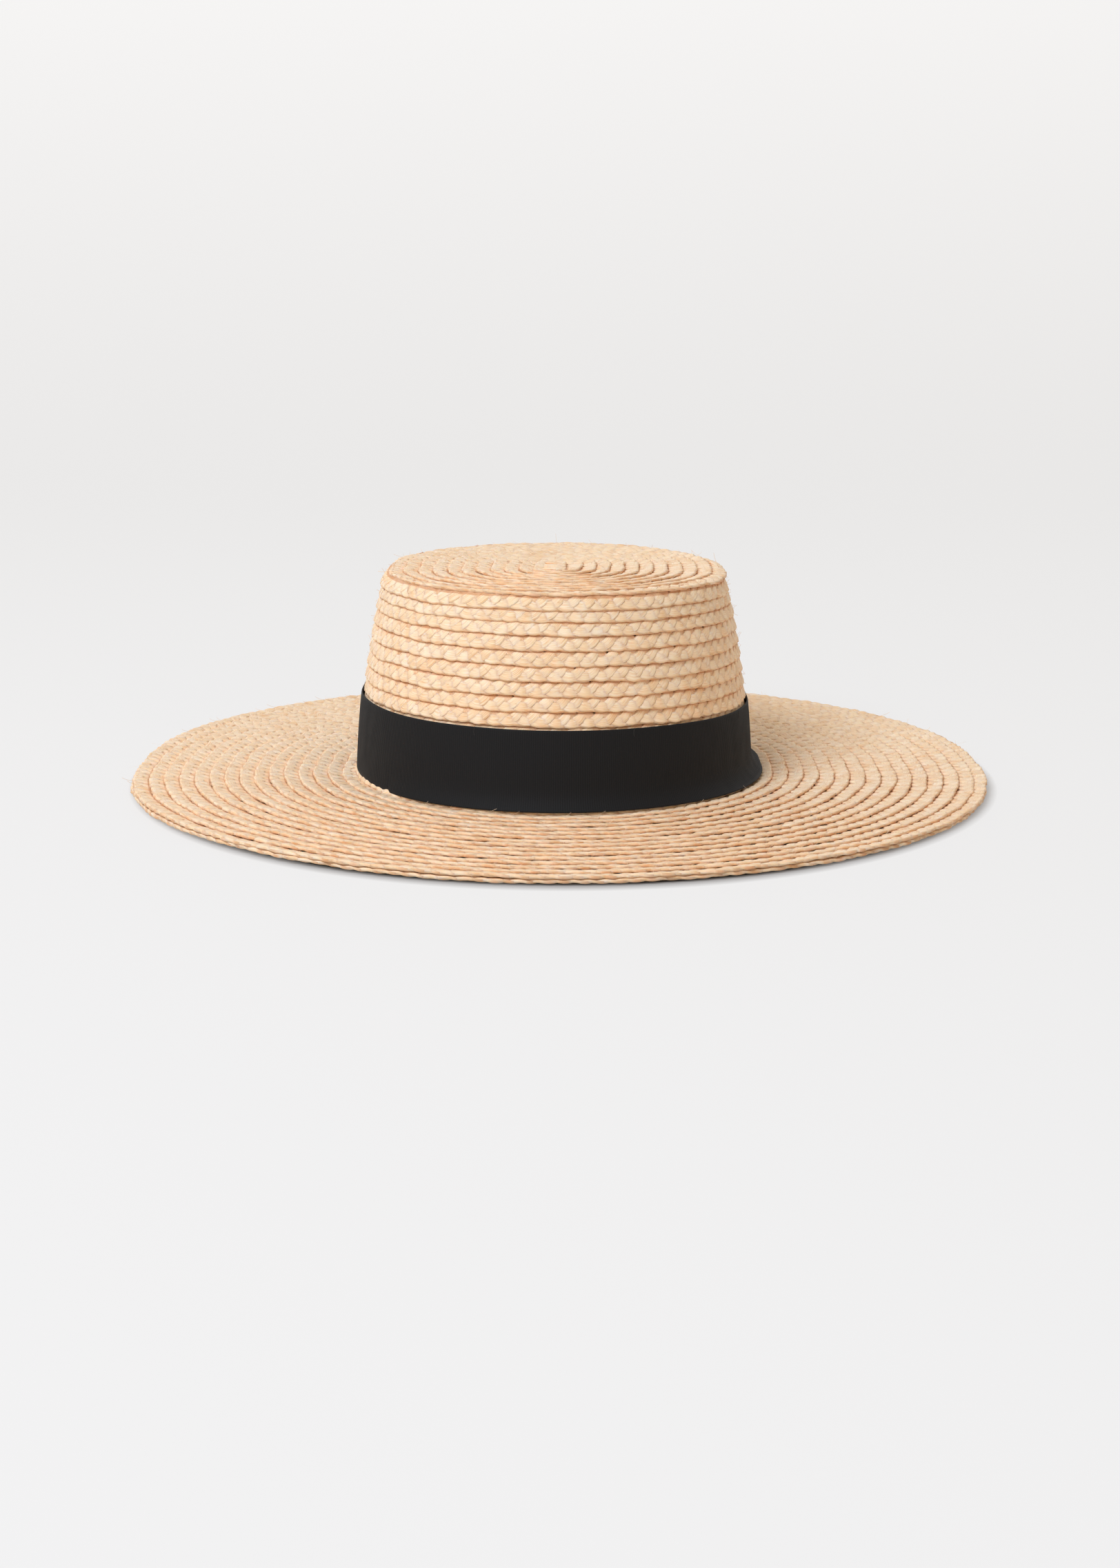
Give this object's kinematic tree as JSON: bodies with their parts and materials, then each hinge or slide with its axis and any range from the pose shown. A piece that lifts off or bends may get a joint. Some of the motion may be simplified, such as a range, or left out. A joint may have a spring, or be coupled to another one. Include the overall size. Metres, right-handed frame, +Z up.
{
  "type": "straw sun hat",
  "caption": "Wide-brimmed straw sun hat sewn from spiral plait, with a flat oval crown, grosgrain ribbon, inner sweatband and a swinging care label.",
  "frame": {"origin": "middle of the head opening, on the plane that the brim rests on", "axes": "+Z up through the crown, -Y the front of the hat, X across its width"},
  "size_m": [0.3882, 0.4068, 0.0953],
  "materials": {
    "straw": "natural raffia plait, semi-matt",
    "plait_thread": "polyester thread, straw coloured",
    "ribbon": "ribbed grosgrain, matt with a slight sheen",
    "sweatband": "ribbed grosgrain, matt",
    "black_thread": "sewing thread",
    "woven_label": "woven satin, blank",
    "care_label": "coated tape, blank"
  },
  "bodies": {
    "hat": {"tip_start": "straw", "tip_row_01": "straw", "tip_row_02": "straw", "tip_row_03": "straw", "tip_row_04": "straw", "tip_row_05": "straw", "tip_row_06": "straw", "tip_row_07": "straw", "tip_row_08": "straw", "tip_row_09": "straw", "tip_row_10": "straw", "tip_row_11": "straw", "rim_row_01": "straw", "rim_row_02": "straw", "wall_row_01": "straw", "wall_row_02": "straw", "wall_row_03": "straw", "wall_row_04": "straw", "wall_row_05": "straw", "wall_row_06": "straw", "wall_row_07": "straw", "wall_row_08": "straw", "wall_row_09": "straw", "wall_row_10": "straw", "wall_row_11": "straw", "wall_row_12": "straw", "wall_row_13": "straw", "brim_row_01": "straw", "brim_row_02": "straw", "brim_row_03": "straw", "brim_row_04": "straw", "brim_row_05": "straw", "brim_row_06": "straw", "brim_row_07": "straw", "brim_row_08": "straw", "brim_row_09": "straw", "brim_row_10": "straw", "brim_row_11": "straw", "brim_row_12": "straw", "brim_row_13": "straw", "brim_row_14": "straw", "brim_row_15": "straw", "edge_turn": "straw", "tip_thread": "plait_thread", "wall_thread": "plait_thread", "brim_thread": "plait_thread", "ribbon": "ribbon", "ribbon_tacks": "black_thread", "sweatband": "sweatband", "sweatband_stitching": "black_thread", "woven_label": "woven_label", "label_stitches": "black_thread", "care_label_hem": "care_label"},
    "care_flap": {"care_label": "care_label"}
  },
  "joints": [
    {"name": "care_label_swing", "type": "hinge", "parent": "hat", "child": "care_flap", "pos_m": [0.05065, 0.07413, 0.02865], "axis": [-0.788, 0.6157, 0], "range_deg": [0, 140]}
  ]
}
